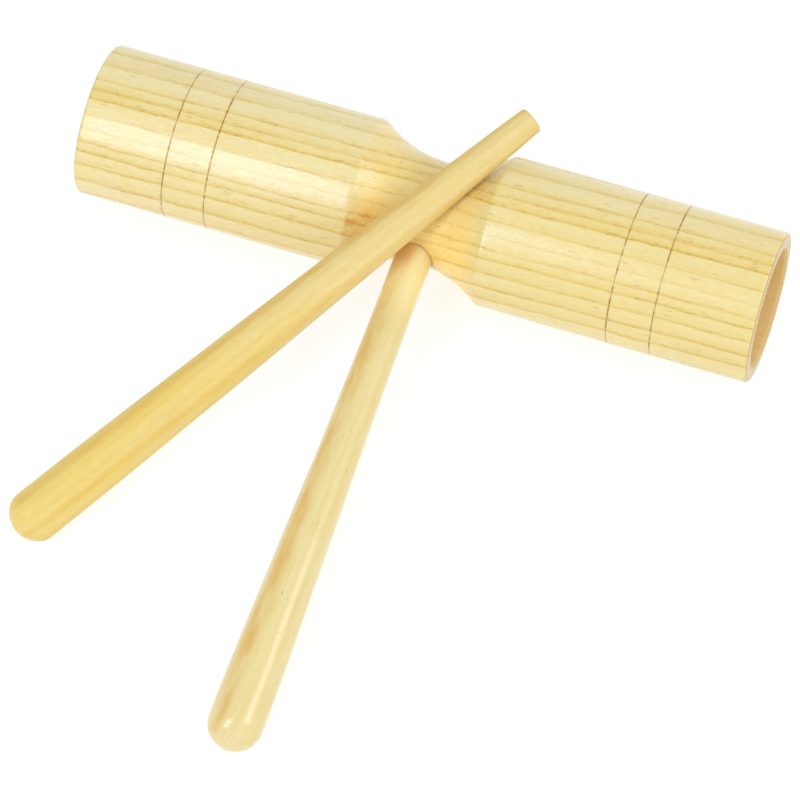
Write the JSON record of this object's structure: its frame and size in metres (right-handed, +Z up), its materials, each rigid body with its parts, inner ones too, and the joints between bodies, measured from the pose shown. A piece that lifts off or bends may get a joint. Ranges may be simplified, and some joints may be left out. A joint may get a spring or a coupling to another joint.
{
  "type": "two-tone wood block",
  "caption": "Turned wooden tone block with a resonance bore in each end, a coved waist, a tapered handle glued into the waist and a loose tapered beater.",
  "frame": {"origin": "on the table, under the middle of the whole object's box", "axes": "+X along the turned block towards its high-tone end, the handle points towards -Y, +Z up from the table"},
  "size_m": [0.2, 0.1969, 0.0533],
  "materials": {
    "block_wood": "clear satin-gloss lacquer over pale straight-grained ash",
    "handle_wood": "clear gloss lacquer over pale ash",
    "beater_wood": "thin matte lacquer over honey-yellow hardwood"
  },
  "bodies": {
    "block": {"tone_block": "block_wood", "handle": "handle_wood"},
    "beater": {"beater": "beater_wood"}
  },
  "joints": [
    {"name": "beater_lift", "type": "slide", "parent": "block", "child": "beater", "axis": [0, 0, 1], "range_m": [0, 0.1]}
  ]
}
